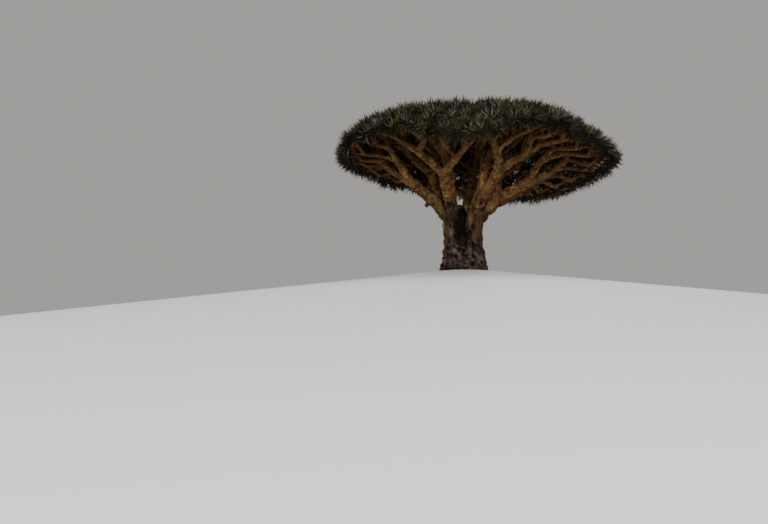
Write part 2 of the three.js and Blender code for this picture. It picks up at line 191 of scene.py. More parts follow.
# The skin of the limbs, with places counted in forks from the trunk
TRUNK_LIMBS_BORN = 1  # limbs that start up to this fork are first part of the trunk's skin
STUB_START = 0.2  # and are so from here to STUB_END
STUB_START_FRONT = 0.3  # or from here, where they stand beside the hollow
BESIDE_HOLLOW = 1  # which is within this angle of it, in radians
STUB_END = 1.75
STUB_FOOT = 0.4  # they start this much thinner, so that they rise out of the trunk softly
STUB_FOOT_LENGTH = 0.5
BOUGH_START = 1.25  # the boughs' own skins start inside these first limbs
BOUGH_LIMBS_BORN = 4  # and have all limbs that start before this fork
LIMB_SIDES = 14
LIMB_STEPS = 9  # rings for each fork of a limb
LIMB_END = 4.2  # the boughs' skin ends inside the finer limbs
LIMB_VOXEL = 0.0185
FORK_SWELL = 0.12  # limbs are this much thicker at a fork
FORK_SWELL_LENGTH = 0.13
KNOB = 0.07  # and lumpy between their forks
SINK = 0.25  # how much thinner a skin gets where it ends inside the next one
SINK_LENGTH = 0.4
RELIEF_CHANGE = (2.1, 2.9)  # between these heights the trunk's relief fades into that of the limbs
LUMP_SIZE = 0.13
LUMP_DEPTH = 0.028
CRACK_SPACING = 0.1
CRACK_DEPTH = 0.012
TWIG_START = 3.85  # the twigs start inside the boughs' skin
LEAF_BASE_START = 6.7  # from here to the rosette the twigs are dark with the bases of old leaves
LEAF_BASE_SWELL = 1.08
TWIG_SIDES = 8
TWIG_STEPS = 3

# The leaves of one rosette: young ones that stand up, older ones round them, and dry ones that hang below
ROSETTE_TURN = 0.4  # how far its axis turns from straight out of the crown towards its twig's way
TIP_STRAY = 0.11  # rosettes stand this much higher or lower than the rule says
AXIS_STRAY = 0.22
YOUNG_LEAVES = 26
OLD_LEAVES = 42
DRY_LEAVES = 7
SPRAYS = 3  # every third leaf of a fan is of one spray, which has one tone
YOUNG_SPREAD = (math.radians(6), math.radians(58))  # from the axis
OLD_SPREAD = (math.radians(58), math.radians(114))
DRY_SPREAD = (math.radians(112), math.radians(158))
LEAF_LENGTH = 0.32
LEAF_WIDTH = 0.036
LEAF_THICKNESS = 0.012
LEAF_BELLY = 0.42  # where a leaf is widest, as a share of its length
LEAF_SEAT = 0.14  # leaves that point straight down would grow this far below the tip of the twig
LEAF_DROOP = 0.1  # how far the point of a level leaf hangs, as a share of its length
LEAF_STRAY = 0.13  # how far its direction strays, in radians
LENGTH_STRAY = 0.28
DRY_LENGTH = 0.3
DRY_DROOP = 0.2
RUSSET_SHARE = 0.35  # so many rosettes have russet dry leaves under them, the others dark ones
GOLDEN_ANGLE = math.radians(137.508)  # from each leaf to the next, round the axis
LEANING_AXIS = 0.7  # an axis that leans this far towards X gets its sides from Y instead
SEED = 7

# Bark: it is coarser than the real one's 5 to 10 mm grain, which wouldn't show from this far
RELIEF = "relief"  # the attribute with the height of the bark's relief
TRUNK_CREVICE = 0.08  # bark this deep is darkest, with dirt and painted shade
LIMB_CREVICE = 0.035
BARK_GRAIN = 0.07
BARK_BUMP = BARK_GRAIN / 3  # how far its grain stands out
FOOT_GRAIN = 0.15
BARK_BLOTCH = 0.45
BLOTCH_STRENGTH = 0.8
BARK_FISSURE = 0.09
GOLD_START = (1.2, 2.4)  # between these heights the trunk's brown turns to the limbs' gold
PAINTED_LIGHT_SLANT = 0.5  # and lower down on its right side, by this slope: painted light on that side
GREY_END = (0.35, 0.6)  # between these heights the foot's grey ends, which a noise moves up
GREY_WAVE = 0.7  # by at most this much
# Painted shade: the bark inside the hollow is coloured nearly black
HOLLOW_SHADE_DEPTH = 0.34
HOLLOW_SHADE_HALF_WIDTH = 0.33
HOLLOW_SHADE_MARGIN = 0.1  # the painted shade reaches this much further up and down than the hollow
HOLLOW_SHADE_EDGE = (0.6, 1.25)  # between these shares of its reach the painted shade fades out
FALLING = {"To Min": 1, "To Max": 0}  # a range that falls from 1 to 0

# Colours, as sRGB, those of the barks as the stops of a ramp over a noise
LIMB_TONES = ((0.3, "#352616"), (0.5, "#6e5335"), (0.72, "#997a4e"))
TWIG_TONES = ((0.3, "#352616"), (0.5, "#694e31"), (0.72, "#8f7048"))
LEAF_BASE_TONES = ((0.3, "#171009"), (0.5, "#38280f"), (0.72, "#544020"))
TRUNK_TONES = ((0.35, "#1f1711"), (0.5, "#524132"), (0.7, "#7a654e"))
FOOT_TONES = ((0.35, "#1e1915"), (0.5, "#483f37"), (0.7, "#6e665b"))
BLOTCH_TONES = ((0.35, "#8f7d6a"), (0.65, "#fff4e0"))
# the colour of dirt and painted shade in the bark's crevices
CREVICE_DIRT_AND_SHADE_TONE = "#120c07"
HOLLOW_SHADE_TONE = "#120c08"
LEAF_TONES = {  # each with its share of the young sprays and of the old ones
    "leaves_deep_green": ("#1f2012", 0.25, 0.32),
    "leaves_grey_green": ("#30321f", 0.22, 0.17),
    "leaves_olive": ("#36341b", 0.2, 0.14),
    "leaves_shaded": ("#11120a", 0.15, 0.34),
    "leaves_pale": ("#636248", 0.18, 0.03),
}
DRY_TONES = {"dry_leaves_dark": "#291c13", "dry_leaves_russet": "#5a351b"}
LEAF_ROUGHNESS = 0.62
DRY_ROUGHNESS = 0.85
FLOOR_TONE = "#eeece8"
SKY_TONE = "#e6e4de"

# The studio
FLOOR_RADII = (0.9, 1.5, 2.5, 4, 7, 12, 20, 40, 80)  # it is level within the first and slopes from there
FLOOR_SIDES = 96
FLOOR_GAP = 0.004  # it lies this far below the tree's flat cut
FLOOR_SLOPE = 0.13
LIGHTS = {  # place, what it faces, size and power
    "key": ((2, -46, 10), (0, 0, 3), 9, 13500),
    "fill": ((-36, -28, 5), (0, 0, 4), 11, 6500),
    "top": ((4, 2, 18), (0, 0, 4), 12, 1700),
    "back": ((8, 40, 9), (0, 0, 3), 9, 8000),
}
SKY_STRENGTH = 0.5
CAMERA_PLACE = (-2.55, -25.5, -2.17)  # below the tree's foot, as the photograph is taken
CAMERA_RISE = 5.57  # degrees by which it looks upwards
SENSOR_WIDTH = 36  # in millimetres, as the lens
LENS = 37.5

# The space on the umbrella that a limb serves
Space = namedtuple("Space", "number angles shares")
# A limb followed from the trunk to its rosette, by its forks
Strand = namedtuple("Strand", "born points radii spaces")
# The leaves of a rosette that are alike
Fan = namedtuple("Fan", "count sprays spread length droop")


def chance(number, trait):
    """A number from 0 to 1 that depends only on a limb's number and on which of its traits is asked for."""
    wave = math.sin(number * NUMBER_TURN + trait * TRAIT_TURN) * CHANCE_STRETCH
    return wave - math.floor(wave)


def stray(number, trait, share):
    """A factor near 1 that strays to either side by at most this share."""
    return 1 + share * (2 * chance(number, trait) - 1)


def wrap(angle):
    """The same angle, at most half a turn to either side."""
    return math.atan2(math.sin(angle), math.cos(angle))


def outline(angle):
    """How far the crown's outline swells at this angle round it."""
    waves = [math.sin(lobes * angle + turn) for lobes, turn in zip(CROWN_LOBES, LOBE_TURNS)]
    return 1 + CROWN_LOBE * sum(waves)


def crown_point(angle, share):
    """The place on the umbrella at an angle round it, with a share of its area inside."""
    radius = math.sqrt(share)
    turned = angle + CROWN_TWIST * (radius - math.sqrt(UNTWISTED_SHARE))
    x = CROWN_SHIFT + radius * outline(turned) * CROWN_HALF_WIDTH * math.cos(turned)
    y = radius * outline(turned) * CROWN_HALF_DEPTH * math.sin(turned)
    droop = CROWN_DROOP * math.cos(turned - DROOP_ANGLE)
    saddle = CROWN_SADDLE * math.cos(2 * (turned - SADDLE_ANGLE))
    tongue = sum(hang * math.exp(-((wrap(turned - at) / width) ** 2)) for hang, at, width in TONGUES)
    fall = CROWN_FALL * (1 + droop + saddle + tongue) * radius**CROWN_CURVE
    hump = CROWN_HUMP * radius * math.sin(HUMPS_ROUND * turned + HUMPS_OUT * radius)
    return Vector((x, y, CROWN_TOP - fall + hump))


def crown_normal(angle, share):
    """The direction straight out of the umbrella."""
    here = crown_point(angle, share)
    around = crown_point(angle + NORMAL_STEP, share) - here
    outwards = crown_point(angle, share + NORMAL_STEP) - here
    return outwards.cross(around).normalized()


def middle(place):
    """The middle angle and area share of a space."""
    return sum(place.angles) / 2, sum(place.shares) / 2


def halves(place):
    """A fork shares a space between two limbs, across its longer side."""
    number, (first, last), (inner, outer) = place
    cut = stray(number, SPLIT_TRAIT, SPLIT_STRAY) / 2
    along = (last - first) * math.sqrt((inner + outer) / 2)
    if along > math.sqrt(outer) - math.sqrt(inner):
        split = first + (last - first) * cut
        return [
            Space(2 * number, (first, split), place.shares),
            Space(2 * number + 1, (split, last), place.shares),
        ]
    split = inner + (outer - inner) * cut
    return [
        Space(2 * number, place.angles, (inner, split)),
        Space(2 * number + 1, place.angles, (split, outer)),
    ]


def fork_point(place, generation, start):
    """Where the limb of this space forks, or carries its rosette."""
    span = crown_point(*middle(place)) - start
    bend = Vector(part * share for part, share in zip(span, RISE))
    way = FORK_SHARES[generation - 1]
    wander = WANDER * span.length / 2 ** (generation / 2)
    offset = Vector([(chance(place.number, trait) - 0.5) * wander for trait in WANDER_TRAITS])
    if generation == len(FORK_SHARES):
        offset += crown_normal(*middle(place)) * TIP_STRAY * (2 * chance(place.number, TIP_TRAIT) - 1)
    return start + 2 * way * (1 - way) * bend + way**2 * span + offset


def fork_radius(number, generation):
    """Radius of a limb where it ends its generation."""
    return FIRST_RADIUS * FORK_TAPER ** (generation - 0.5) * stray(number, RADIUS_TRAIT, RADIUS_STRAY)


def grow(place, generation, strand, strands):
    """Follows a limb from fork to fork. The straighter child carries it on, the other starts a new one."""
    start = strand.points[0]
    strand.points.append(fork_point(place, generation, start))
    strand.radii.append(fork_radius(place.number, generation))
    strand.spaces.append(place)
    if generation == len(FORK_SHARES):
        return
    last, here = strand.points[-2:]
    ahead = (here - last).normalized()

    def turn(child):
        return -(fork_point(child, generation + 1, start) - here).normalized().dot(ahead)

    straight, side = sorted(halves(place), key=turn)
    branch = Strand(generation, list(strand.points), list(strand.radii), list(strand.spaces))
    strands.append(branch)
    grow(straight, generation + 1, strand, strands)
    grow(side, generation + 1, branch, strands)


def sector_span(sector):
    """The first and last angle of a sector."""
    following = SECTOR_EDGES[sector + 1 :] or [SECTOR_EDGES[0] + math.tau]
    return SECTOR_EDGES[sector], following[0]


def start_angle(sector):
    """Where a sector's first bough leaves the trunk: at its middle, but moved away from the hollow."""
    centre = sum(sector_span(sector)) / 2
    away = wrap(centre - HOLLOW_ANGLE)
    return centre + CLEFT * math.copysign(math.exp(-(away**2)), away)


def sector_strands(sector):
    """All strands of one sector of the crown, its first bough first."""
    place = Space(FIRST_SECTOR_NUMBER + sector, sector_span(sector), (0, 1))
    angle = start_angle(sector)
    start = Vector((START_RING * math.cos(angle), START_RING * math.sin(angle), START_HEIGHT))
    strands = [Strand(0, [start], [START_RADIUS], [place])]
    grow(place, 1, strands[0], strands)
    return strands


def limb_radius(strand, place):
    """Radius of a strand at a place counted in forks from the trunk."""
    fork = min(int(place), len(strand.radii) - 2)
    here, there = strand.radii[fork : fork + 2]
    radius = here + (there - here) * (place - fork)
    return min(radius, strand.radii[strand.born] * SIDE_BASE) if strand.born else radius


def limb_way(strand, place):
    """Centre and direction of a strand at such a place, on a smooth curve through its forks."""
    points = strand.points
    fork = min(int(place), len(points) - 2)
    here, there = points[fork : fork + 2]
    before = points[fork - 1] if fork else 2 * here - there
    after = points[fork + 2] if fork + 2 < len(points) else 2 * there - here
    leave, arrive = (there - before) / 2, (after - here) / 2
    bow = 2 * (here - there) + leave + arrive
    sway = 3 * (there - here) - 2 * leave - arrive
    t = place - fork
    centre = here + t * (leave + t * (sway + t * bow))
    return centre, (leave + t * (2 * sway + 3 * t * bow)).normalized()


def limb_frames(strand, along, swell):
    """Frames along a strand, each with its Z along the limb and scaled to the limb's radius there."""
    roll = math.tau * chance(strand.spaces[0].number, ROLL_TRAIT)
    normal = Vector((math.cos(roll), math.sin(roll), NORMAL_TILT))
    frames = []
    for place in along:
        centre, tangent = limb_way(strand, place)
        normal = (normal - tangent * normal.dot(tangent)).normalized()
        radius = limb_radius(strand, place) * swell(place)
        columns = (normal * radius, tangent.cross(normal) * radius, tangent, centre)
        frames.append(Matrix([(*row, 0) for row in columns[:3]] + [(*centre, 1)]).transposed())
    return frames


def limb_places(first, last, steps):
    """Evenly spaced places on a limb, so many to each fork."""
    count = max(2, round((last - first) * steps) + 1)
    return [float(place) for place in np.linspace(first, last, count)]


def fork_swell(place):
    """Limbs are thicker at their forks."""
    away = (place - round(place)) / FORK_SWELL_LENGTH
    return 1 + FORK_SWELL * math.exp(-(away**2))


def knobs(strand, place):
    """Scars and old wounds make a limb lumpy along its length."""
    trait = FIRST_KNOB_TRAIT + round(place * LIMB_STEPS)
    return fork_swell(place) * stray(strand.spaces[-1].number, trait, KNOB)


def sink(distance):
    """Makes a skin thinner at this distance from where it ends inside the next one."""
    return 1 - SINK * max(0, 1 - distance / SINK_LENGTH)


def sweep(bm, frames, sides):
    """A closed tube: a circle that is extruded from frame to frame."""
    made = bmesh.ops.create_circle(bm, cap_ends=True, segments=sides, radius=1, matrix=frames[0])
    face = made["verts"][0].link_faces[0]
    for last, here in zip(frames, frames[1:]):
        geometry = bmesh.ops.extrude_face_region(bm, geom=[face])["geom"]
        face = next(item for item in geometry if isinstance(item, bmesh.types.BMFace))
        bmesh.ops.transform(bm, matrix=here @ last.inverted(), verts=face.verts)


def new_object(name, data):
    """An object with this data, in the scene."""
    made = bpy.data.objects.new(name, data)
    bpy.context.scene.collection.objects.link(made)
    return made


def mesh_object(name, mesh, material, smooth=True):
    """A piece of this mesh, with this material."""
    mesh.materials.clear()
    mesh.materials.append(material)
    mesh.polygons.foreach_set("use_smooth", [smooth] * len(mesh.polygons))
    return new_object(name, mesh)


def closed_mesh(name, bm):
    """The mesh that a bmesh holds, with its faces turned outwards."""
    bmesh.ops.recalc_face_normals(bm, faces=bm.faces)
    mesh = bpy.data.meshes.new(name)
    bm.to_mesh(mesh)
    bm.free()
    return mesh


def skinned(name, bm, voxel, relief, material):
    """Joins the tubes of a mesh under one skin, softens its forks and gives it relief."""
    piece = mesh_object(name, closed_mesh(name, bm), material)
    remesh = piece.modifiers.new("skin", "REMESH")
    remesh.mode = "VOXEL"
    remesh.voxel_size = voxel
    smooth = piece.modifiers.new("soft forks", "SMOOTH")
    smooth.factor = SKIN_SOFTNESS
    smooth.iterations = SKIN_SOFT_ROUNDS
    evaluated = piece.evaluated_get(bpy.context.evaluated_depsgraph_get())
    made = bpy.data.meshes.new_from_object(evaluated)
    piece.modifiers.clear()
    piece.data = made
    raise_relief(made, relief)
    made.polygons.foreach_set("use_smooth", [True] * len(made.polygons))
    return piece


def raise_relief(mesh, relief):
    """Moves each point of a mesh outwards by the relief at its place, and keeps that height for the bark."""
    points = np.empty(3 * len(mesh.vertices))
    normals = np.empty_like(points)
    mesh.vertices.foreach_get("co", points)
    mesh.vertex_normals.foreach_get("vector", normals)
    heights = [relief(Vector(point)) for point in points.reshape(-1, 3)]
    mesh.vertices.foreach_set("co", points + normals * np.repeat(heights, 3))
    mesh.attributes.new(RELIEF, "FLOAT", "POINT").data.foreach_set("value", heights)
    mesh.update()


def smoothstep(value, low, high):
    """A share that rises softly from 0 at the low value to 1 at the high one."""
    share = min(1, max(0, (value - low) / (high - low)))
    return share * share * (3 - 2 * share)


def trunk_radius(height):
    """Radius of the plain trunk at a height."""
    flare = TRUNK_FLARE * math.exp(-((height / TRUNK_FLARE_HEIGHT) ** 2))
    above = max(0, height - TRUNK_WAIST_HEIGHT) / (TRUNK_SHOULDER - TRUNK_WAIST_HEIGHT)
    return TRUNK_WAIST + flare + TRUNK_GOBLET * above**2


def pockets(angle, height):
    """How deep the small rotten holes are here."""
    depth = 0
    for at, middle_height, half_width, half_height, deepest in POCKETS:
        across = wrap(angle - at) * TRUNK_WAIST / half_width
        upwards = (height - middle_height) / half_height
        depth += deepest * math.exp(-((across**2 + upwards**2) ** 2))
    return depth


def trunk_with_ribs(angle, height):
    """Radius of the trunk with its ribs and root lobes."""
    rise = smoothstep(height, RIB_FOOT, TRUNK_SHOULDER)
    sectors = range(len(SECTOR_EDGES))
    rib = sum(math.exp(-((wrap(angle - start_angle(sector)) / RIB_WIDTH) ** 2)) for sector in sectors)
    root = math.exp(-max(0, height) / ROOT_LOBE_HEIGHT) * math.sin(ROOT_LOBES * angle + ROOT_LOBE_TURN)
    plain = trunk_radius(min(height, TRUNK_SHOULDER))
    return plain * (1 + TRUNK_RIB * (rib - RIB_LEVEL) * rise + ROOT_LOBE * root)


def hollow_depth(across, height, above_foot):
    """How deep the hollow and the recess round it are, this far across from the hollow's middle line."""
    ragged = RAGGED * noise.noise(Vector((across, height, 0)) / RAGGED_SIZE)
    beside = 1 - (across / RECESS_HALF_WIDTH) ** 2 + ragged
    recess = smoothstep(beside, 0, RECESS_EDGE) * above_foot * (1 - smoothstep(height, *RECESS_END))
    upwards = (height - HOLLOW_MIDDLE) / HOLLOW_HALF_HEIGHT
    egg = 1 - (across / HOLLOW_HALF_WIDTH) ** 2 - max(0, upwards) ** HOLLOW_BLUNTNESS + ragged
    steep = HOLLOW_STEEPNESS * math.sqrt(max(0, egg * above_foot))
    return RECESS_DEPTH * recess + HOLLOW_DEPTH * min(1, steep)


def trunk_surface(angle, height):
    """Radius of the trunk with its ribs, root lobes, gnarled foot, recess and hollow."""
    foot_top = FOOT_TOP + FOOT_WAVE * math.sin(FOOT_WAVES * angle)
    foot = 1 - smoothstep(height, foot_top - FOOT_EDGE, foot_top)
    away = wrap(angle - HOLLOW_ANGLE)
    bulge = FOOT_BULGE * foot * math.exp(-((away / FOOT_BULGE_WIDTH) ** 2))
    across = away * trunk_radius(min(height, TRUNK_SHOULDER))
    depth = hollow_depth(across, height, 1 - foot)
    depth = max(depth, pockets(angle, height) * (1 - foot))
    dome = max(0, height - TRUNK_SHOULDER) / (TRUNK_TOP - TRUNK_SHOULDER)
    return (trunk_with_ribs(angle, height) + bulge - depth) * math.sqrt(1 - dome**2)


def trunk_relief(point):
    """How far the bark stands out: upright fissures and knuckles, and pits all over the foot."""
    upright = Vector((point.x, point.y, FISSURE_STRETCH * point.z)) / FISSURE_SPACING
    fissure = max(0, 1 - FISSURE_SHARPNESS * abs(noise.noise(upright)))
    knuckle = noise.noise(point / KNUCKLE_SIZE)
    knuckle += KNUCKLE_LOWER * noise.noise(KNUCKLE_FINER * point / KNUCKLE_SIZE)
    edge = point.z + PIT_WAVE * noise.noise(point / PIT_WAVE_SIZE)
    foot = 1 - smoothstep(edge, FOOT_TOP - PIT_FADE, FOOT_TOP + PIT_FADE)
    pit = smoothstep(noise.noise(point / PIT_SIZE), *PIT_EDGE)
    fissures = FISSURE_DEPTH * fissure * (1 - FOOT_FISSURE_LOSS * foot)
    return KNUCKLE_DEPTH * knuckle - fissures - PIT_DEPTH * pit * foot


def limb_relief(point):
    """How far a limb's bark stands out: soft lumps, and shallow cracks between them."""
    lump = noise.noise(point / LUMP_SIZE)
    crack = max(0, 1 - FISSURE_SHARPNESS * abs(noise.noise(point / CRACK_SPACING)))
    return LUMP_DEPTH * lump - CRACK_DEPTH * crack


def skin_relief(point):
    """The trunk's relief, which fades into that of the limbs."""
    limb = smoothstep(point.z, *RELIEF_CHANGE)
    return (1 - limb) * trunk_relief(point) + limb * limb_relief(point)


def stub_start(strand):
    """Where a first limb starts to be part of the trunk's skin."""
    start = strand.points[0]
    away = wrap(math.atan2(start.y, start.x) - HOLLOW_ANGLE)
    return max(strand.born, STUB_START if abs(away) > BESIDE_HOLLOW else STUB_START_FRONT)


def stub_swell(strand, place):
    """How much thicker or thinner than its plain radius a first limb is in the trunk's skin."""
    foot = 0 if strand.born else STUB_FOOT * max(0, 1 - (place - stub_start(strand)) / STUB_FOOT_LENGTH)
    return (1 - foot) * knobs(strand, place) * sink(STUB_END - place)


def add_stump(bm):
    """The stub of the lost limb, a short round stick."""
    along = (STUMP[1] - STUMP[0]).to_track_quat("Z", "Y").to_matrix().to_4x4()
    round_stump = along @ Matrix.Diagonal((STUMP_RADIUS, STUMP_RADIUS, 1, 1))
    sweep(bm, [Matrix.Translation(end) @ round_stump for end in STUMP], LIMB_SIDES)


def trunk_skin(strands, material):
    """The trunk with its first limbs, cut level at the ground."""
    bm = bmesh.new()
    heights = np.linspace(TRUNK_FOOT, LAST_RING * TRUNK_TOP, TRUNK_RINGS)
    sweep(bm, [Matrix.Translation((0, 0, height)) for height in heights], TRUNK_SIDES)
    for vert in bm.verts:
        angle = math.atan2(vert.co.y, vert.co.x)
        radius = trunk_surface(angle, vert.co.z)
        vert.co.x, vert.co.y = radius * math.cos(angle), radius * math.sin(angle)
    for strand in strands:
        if strand.born <= TRUNK_LIMBS_BORN:
            along = limb_places(stub_start(strand), STUB_END, LIMB_STEPS)
            sweep(bm, limb_frames(strand, along, lambda place: stub_swell(strand, place)), LIMB_SIDES)
    add_stump(bm)
    piece = skinned("trunk_skin", bm, TRUNK_VOXEL, skin_relief, material)
    cut_level(piece)
    return piece


def cut_level(piece):
    """Cuts away what is below the ground and closes the cut."""
    bm = bmesh.new()
    bm.from_mesh(piece.data)
    everything = bm.verts[:] + bm.edges[:] + bm.faces[:]
    ground = {"plane_co": (0, 0, 0), "plane_no": (0, 0, -1)}
    cut = bmesh.ops.bisect_plane(bm, geom=everything, clear_outer=True, **ground)
    rim = [item for item in cut["geom_cut"] if isinstance(item, bmesh.types.BMEdge)]
    bmesh.ops.contextual_create(bm, geom=rim)
    bm.to_mesh(piece.data)
    bm.free()


def bough_swell(strand, place):
    """How much thicker or thinner than its plain radius a limb is in its bough's skin."""
    to_trunk = place - BOUGH_START if strand.born <= TRUNK_LIMBS_BORN else SINK_LENGTH
    return knobs(strand, place) * sink(min(to_trunk, LIMB_END - place))


def bough_skin(sector, strands, material):
    """The boughs of one sector, from inside the trunk's skin up to their fourth forks."""
    bm = bmesh.new()
    for strand in strands:
        if strand.born < BOUGH_LIMBS_BORN:
            along = limb_places(max(BOUGH_START, strand.born), LIMB_END, LIMB_STEPS)
            sweep(bm, limb_frames(strand, along, lambda place: bough_swell(strand, place)), LIMB_SIDES)
    return skinned(f"boughs_{sector + 1}", bm, LIMB_VOXEL, limb_relief, material)


def mesh_from(name, points, corners):
    """A mesh of triangles, from an array of points and an array of the three points of each triangle."""
    mesh = bpy.data.meshes.new(name)
    mesh.vertices.add(len(points))
    mesh.vertices.foreach_set("co", np.asarray(points, np.float32).ravel())
    mesh.loops.add(corners.size)
    mesh.loops.foreach_set("vertex_index", corners.astype(np.int32).ravel())
    mesh.polygons.add(len(corners))
    mesh.polygons.foreach_set("loop_start", np.arange(0, corners.size, 3, dtype=np.int32))
    mesh.update(calc_edges=True)
    return mesh


def joined(parts):
    """Several (points, corners) as one, with the corners renumbered."""
    points, corners, count = [], [], 0
    for part_points, part_corners in parts:
        points.append(part_points)
        corners.append(part_corners + count)
        count += len(part_points)
    return np.concatenate(points), np.concatenate(corners)


def tube(frames, sides):
    """A closed tube through these frames as points and corners, for the many thin twigs."""
    turns = np.arange(sides) * math.tau / sides
    ring = np.stack([np.cos(turns), np.sin(turns), np.zeros(sides), np.ones(sides)])
    rings = [(np.array(frame) @ ring)[:3].T for frame in frames]
    ends = [np.array(frame)[:3, 3][None] for frame in (frames[0], frames[-1])]
    count = len(frames) * sides
    first = np.arange(sides)
    following = (first + 1) % sides
    corners = []
    for start in range(0, count - sides, sides):
        lower, upper = start + first, start + sides + first
        next_lower, next_upper = start + following, start + sides + following
        corners.append(np.stack([lower, next_lower, next_upper], 1))
        corners.append(np.stack([lower, next_upper, upper], 1))
    top = count - sides
    corners.append(np.stack([np.full(sides, count), following, first], 1))
    corners.append(np.stack([np.full(sides, count + 1), top + first, top + following], 1))
    return np.concatenate([*rings, *ends]), np.concatenate(corners)


def twig_tubes(strands, first, last, thicker=1):
    """The finer limbs between two places counted in forks, each from inside its bough or its parent."""
    tubes = []
    for strand in strands:
        start = max(first, strand.born)
        if start < last:
            along = limb_places(start, last, TWIG_STEPS)
            frames = limb_frames(strand, along, lambda place: thicker * fork_swell(place))
            tubes.append(tube(frames, TWIG_SIDES))
    return joined(tubes)


def leaf_frames(axes, polar, around):
    """The way, the side and the keel of leaves at these angles from their axes and round them."""
    helper = np.where(np.abs(axes[:, :1]) < LEANING_AXIS, [[1.0, 0, 0]], [[0, 1.0, 0]])
    first = np.cross(axes, helper)
    first /= np.linalg.norm(first, axis=1, keepdims=True)
    second = np.cross(axes, first)
    out = first[:, None] * np.cos(around)[..., None] + second[:, None] * np.sin(around)[..., None]
    side = second[:, None] * np.cos(around)[..., None] - first[:, None] * np.sin(around)[..., None]
    way = axes[:, None] * np.cos(polar)[..., None] + out * np.sin(polar)[..., None]
    keel = out * np.cos(polar)[..., None] - axes[:, None] * np.sin(polar)[..., None]
    return way, side, keel


def blades(seat, reach, sag, side, keel):
    """A pointed blade of six faces for each leaf, widest at its belly and with a keel under it."""
    belly = seat + reach * LEAF_BELLY
    blade = [
        seat,
        belly - side * LEAF_WIDTH / 2,
        belly + side * LEAF_WIDTH / 2,
        belly + keel * LEAF_THICKNESS,
        seat + reach + sag,
    ]
    points = np.stack(blade, axis=2).reshape(-1, 3)
    faces = np.array([(0, 1, 2), (0, 2, 3), (0, 3, 1), (4, 2, 1), (4, 3, 2), (4, 1, 3)])
    starts = np.arange(0, len(points), len(blade))
    return points, (starts[:, None, None] + faces[None]).reshape(-1, 3)


def leaf_fans(tips, axes, rolls, fan, spray, rng):
    """One spray of each rosette's fan: stiff leaves in a spiral round the tip of a twig."""
    number = np.arange(spray, fan.count, fan.sprays)
    low, high = np.cos(fan.spread)
    cosines = low + (high - low) * (number + 0.5) / fan.count
    polar = np.arccos(cosines)[None] + rng.normal(0, LEAF_STRAY, (len(tips), len(number)))
    around = number[None] * GOLDEN_ANGLE + rolls[:, None] + rng.normal(0, LEAF_STRAY, polar.shape)
    long = fan.length * (1 + rng.uniform(-LENGTH_STRAY, LENGTH_STRAY, polar.shape))
    way, side, keel = leaf_frames(axes, polar, around)
    seat = tips[:, None] - axes[:, None] * (LEAF_SEAT * (1 - cosines) / 2)[None, :, None]
    sag = np.zeros_like(way)
    sag[..., 2] = -fan.droop * long * np.hypot(way[..., 0], way[..., 1])
    return blades(seat, way * long[..., None], sag, side, keel)


def rosette_places(strands):
    """Where each strand carries its rosette, and the rosette's way out of the crown."""
    tips, axes = [], []
    for strand in strands:
        number = strand.spaces[-1].number
        tip, way = limb_way(strand, len(FORK_SHARES))
        axis = crown_normal(*middle(strand.spaces[-1])).lerp(way, ROSETTE_TURN)
        axis += AXIS_STRAY * Vector([2 * chance(number, trait) - 1 for trait in AXIS_TRAITS])
        axis.normalize()
        tips.append(tip)
        axes.append(axis)
    return np.array(tips), np.array(axes)


def linear(colour):
    """An sRGB hex colour as linear red, green, blue and alpha."""
    channels = [int(colour[i : i + 2], 16) / 255 for i in (1, 3, 5)]
    return [c / 12.92 if c <= 0.04045 else ((c + 0.055) / 1.055) ** 2.4 for c in channels] + [1]


def add(tree, kind, inputs=(), stops=(), **settings):
    """Adds a shader node with its settings, the stops of its colour ramp, and its input values or links."""
    node = tree.nodes.new("ShaderNode" + kind)
    for name, value in settings.items():
        setattr(node, name, value)
    for name, value in dict(inputs).items():
        if isinstance(value, bpy.types.NodeSocket):
            tree.links.new(value, node.inputs[name])
        else:
            node.inputs[name].default_value = value
    for number, (position, colour) in enumerate(stops):
        elements = node.color_ramp.elements
        element = elements[number] if number < len(elements) else elements.new(position)
        element.position = position
        element.color = linear(colour)
    return node


def new_material(name):
    """An empty material and its node tree."""
    material = bpy.data.materials.new(name)
    material.use_nodes = True
    material.node_tree.nodes.clear()
    return material, material.node_tree


